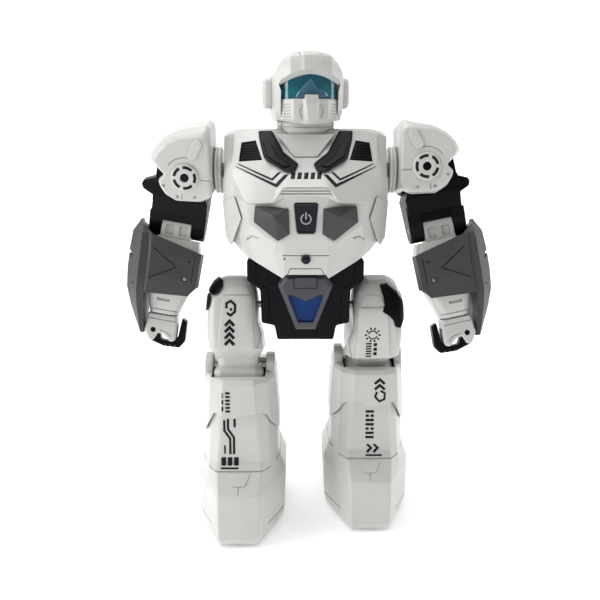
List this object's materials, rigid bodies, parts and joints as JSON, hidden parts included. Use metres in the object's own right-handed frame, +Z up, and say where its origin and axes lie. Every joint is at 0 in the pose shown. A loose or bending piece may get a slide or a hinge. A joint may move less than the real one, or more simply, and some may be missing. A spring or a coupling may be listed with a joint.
{
  "type": "walking humanoid robot toy",
  "caption": "Walking humanoid robot toy with armoured white shells, turning head, jointed arms with gripping claws and striding legs on wheeled boots.",
  "frame": {"origin": "on the floor below the middle of the robot, at the centre of its bounding box", "axes": "+Z up, -Y the way the robot faces, +X its own left side"},
  "size_m": [0.2575, 0.1278, 0.3349],
  "materials": {
    "battery_blue": "heat-shrink sleeve",
    "black_plastic": "semi-gloss moulded black ABS",
    "blue_lens": "tinted plastic lens",
    "button_black": "gloss moulded black",
    "circuit_green": "solder-masked laminate",
    "gearbox_grey": "moulded nylon",
    "grey_plastic": "satin painted grey on moulded ABS",
    "steel": "drawn steel pin",
    "tyre_rubber": "moulded soft rubber",
    "visor_teal": "clear tinted plastic, polished",
    "white_plastic": "semi-gloss injection-moulded white ABS"
  },
  "bodies": {
    "torso": {"chest_front_shell": "white_plastic", "chest_back_shell": "white_plastic", "left_collar_trim": "black_plastic", "right_collar_trim": "black_plastic", "left_chest_panel": "grey_plastic", "right_chest_panel": "grey_plastic", "infrared_window": "black_plastic", "battery_door": "white_plastic", "battery_pack": "battery_blue", "circuit_board": "circuit_green", "speaker": "black_plastic", "pelvis_shell": "black_plastic", "belt_plate": "grey_plastic", "belt_light_panel": "blue_lens", "hip_axle": "steel"},
    "head": {"helmet_shell": "white_plastic", "visor": "visor_teal", "face_mask": "white_plastic", "left_ear_pod": "white_plastic", "right_ear_pod": "white_plastic", "eye_light_board": "circuit_green", "neck_ring": "white_plastic"},
    "button": {"power_button": "button_black"},
    "switch": {"power_switch": "black_plastic"},
    "right_shoulder": {"right_shoulder_flange": "white_plastic", "right_pad_front_shell": "white_plastic", "right_pad_back_shell": "white_plastic"},
    "right_upper_arm": {"right_upper_arm": "black_plastic"},
    "right_forearm": {"right_forearm_shell": "white_plastic", "right_elbow_pin": "steel", "right_gauntlet": "grey_plastic", "right_hand": "white_plastic"},
    "right_claw": {"right_claw": "black_plastic"},
    "right_thigh": {"right_thigh_shell": "white_plastic", "right_hip_cap": "black_plastic"},
    "right_boot": {"right_boot_outer_shell": "white_plastic", "right_boot_inner_shell": "white_plastic", "right_knee_pin": "steel", "right_drive_gearbox": "gearbox_grey"},
    "right_wheels": {"right_drive_wheels": "tyre_rubber"},
    "right_roller": {"right_front_roller": "black_plastic"},
    "left_shoulder": {"left_shoulder_flange": "white_plastic", "left_pad_front_shell": "white_plastic", "left_pad_back_shell": "white_plastic"},
    "left_upper_arm": {"left_upper_arm": "black_plastic"},
    "left_forearm": {"left_forearm_shell": "white_plastic", "left_elbow_pin": "steel", "left_gauntlet": "grey_plastic", "left_hand": "white_plastic"},
    "left_claw": {"left_claw": "black_plastic"},
    "left_thigh": {"left_thigh_shell": "white_plastic", "left_hip_cap": "black_plastic"},
    "left_boot": {"left_boot_outer_shell": "white_plastic", "left_boot_inner_shell": "white_plastic", "left_knee_pin": "steel", "left_drive_gearbox": "gearbox_grey"},
    "left_wheels": {"left_drive_wheels": "tyre_rubber"},
    "left_roller": {"left_front_roller": "black_plastic"}
  },
  "joints": [
    {"name": "head_turn", "type": "hinge", "parent": "torso", "child": "head", "pos_m": [0, 0, 0.2805], "axis": [0, 0, 1], "range_deg": [-55, 45]},
    {"name": "button_press", "type": "slide", "parent": "torso", "child": "button", "axis": [0, 1, 0], "range_m": [0, 0.001], "stiffness_N_per_m": 600},
    {"name": "switch_slide", "type": "slide", "parent": "torso", "child": "switch", "axis": [1, 0, 0], "range_m": [0, 0.0062]},
    {"name": "right_shoulder_swing", "type": "hinge", "parent": "torso", "child": "right_shoulder", "pos_m": [-0.0805, 0, 0.2555], "axis": [1, 0, 0], "range_deg": [-169, 41]},
    {"name": "right_shoulder_lift", "type": "hinge", "parent": "right_shoulder", "child": "right_upper_arm", "pos_m": [-0.0805, 0, 0.2555], "axis": [0, 0.9877, 0.1564], "range_deg": [-4, 20]},
    {"name": "right_elbow_bend", "type": "hinge", "parent": "right_upper_arm", "child": "right_forearm", "pos_m": [-0.08813, 0.00614, 0.21672], "axis": [-0.9816, -0.0298, 0.1885], "range_deg": [-17, 32]},
    {"name": "right_claw_grip", "type": "hinge", "parent": "right_forearm", "child": "right_claw", "pos_m": [-0.10905, -0.00499, 0.14312], "axis": [-0.0558, 0.9894, -0.1339], "range_deg": [0, 35]},
    {"name": "right_hip_swing", "type": "hinge", "parent": "torso", "child": "right_thigh", "pos_m": [-0.0465, 0, 0.15939], "axis": [1, 0, 0], "range_deg": [-2.3, 27.7]},
    {"name": "right_knee_bend", "type": "hinge", "parent": "right_thigh", "child": "right_boot", "pos_m": [-0.0465, -0.01, 0.115], "axis": [1, 0, 0], "range_deg": [-27.7, 2.3]},
    {"name": "right_drive_spin", "type": "hinge", "parent": "right_boot", "child": "right_wheels", "pos_m": [-0.0465, 0.016, 0.011], "axis": [1, 0, 0], "continuous": true},
    {"name": "right_roller_spin", "type": "hinge", "parent": "right_boot", "child": "right_roller", "pos_m": [-0.0465, -0.055, 0.0055], "axis": [1, 0, 0], "continuous": true},
    {"name": "left_shoulder_swing", "type": "hinge", "parent": "torso", "child": "left_shoulder", "pos_m": [0.0805, 0, 0.2555], "axis": [1, 0, 0], "range_deg": [-151, 59]},
    {"name": "left_shoulder_lift", "type": "hinge", "parent": "left_shoulder", "child": "left_upper_arm", "pos_m": [0.0805, 0, 0.2555], "axis": [0, -0.9877, 0.1564], "range_deg": [-4, 19]},
    {"name": "left_elbow_bend", "type": "hinge", "parent": "left_upper_arm", "child": "left_forearm", "pos_m": [0.08882, -0.00612, 0.21686], "axis": [-0.9781, -0.0325, -0.2054], "range_deg": [-4, 44]},
    {"name": "left_claw_grip", "type": "hinge", "parent": "left_forearm", "child": "left_claw", "pos_m": [0.11163, -0.02295, 0.14492], "axis": [-0.0145, -0.9746, 0.2234], "range_deg": [0, 35]},
    {"name": "left_hip_swing", "type": "hinge", "parent": "torso", "child": "left_thigh", "pos_m": [0.0465, 0, 0.15939], "axis": [1, 0, 0], "range_deg": [-27.7, 2.3]},
    {"name": "left_knee_bend", "type": "hinge", "parent": "left_thigh", "child": "left_boot", "pos_m": [0.0465, 0.01, 0.115], "axis": [1, 0, 0], "range_deg": [-2.3, 27.7]},
    {"name": "left_drive_spin", "type": "hinge", "parent": "left_boot", "child": "left_wheels", "pos_m": [0.0465, 0.036, 0.011], "axis": [1, 0, 0], "continuous": true},
    {"name": "left_roller_spin", "type": "hinge", "parent": "left_boot", "child": "left_roller", "pos_m": [0.0465, -0.035, 0.0055], "axis": [1, 0, 0], "continuous": true}
  ],
  "couplings": [
    {"joint": "right_knee_bend", "follows": "right_hip_swing", "ratio": -1},
    {"joint": "left_knee_bend", "follows": "left_hip_swing", "ratio": -1}
  ]
}
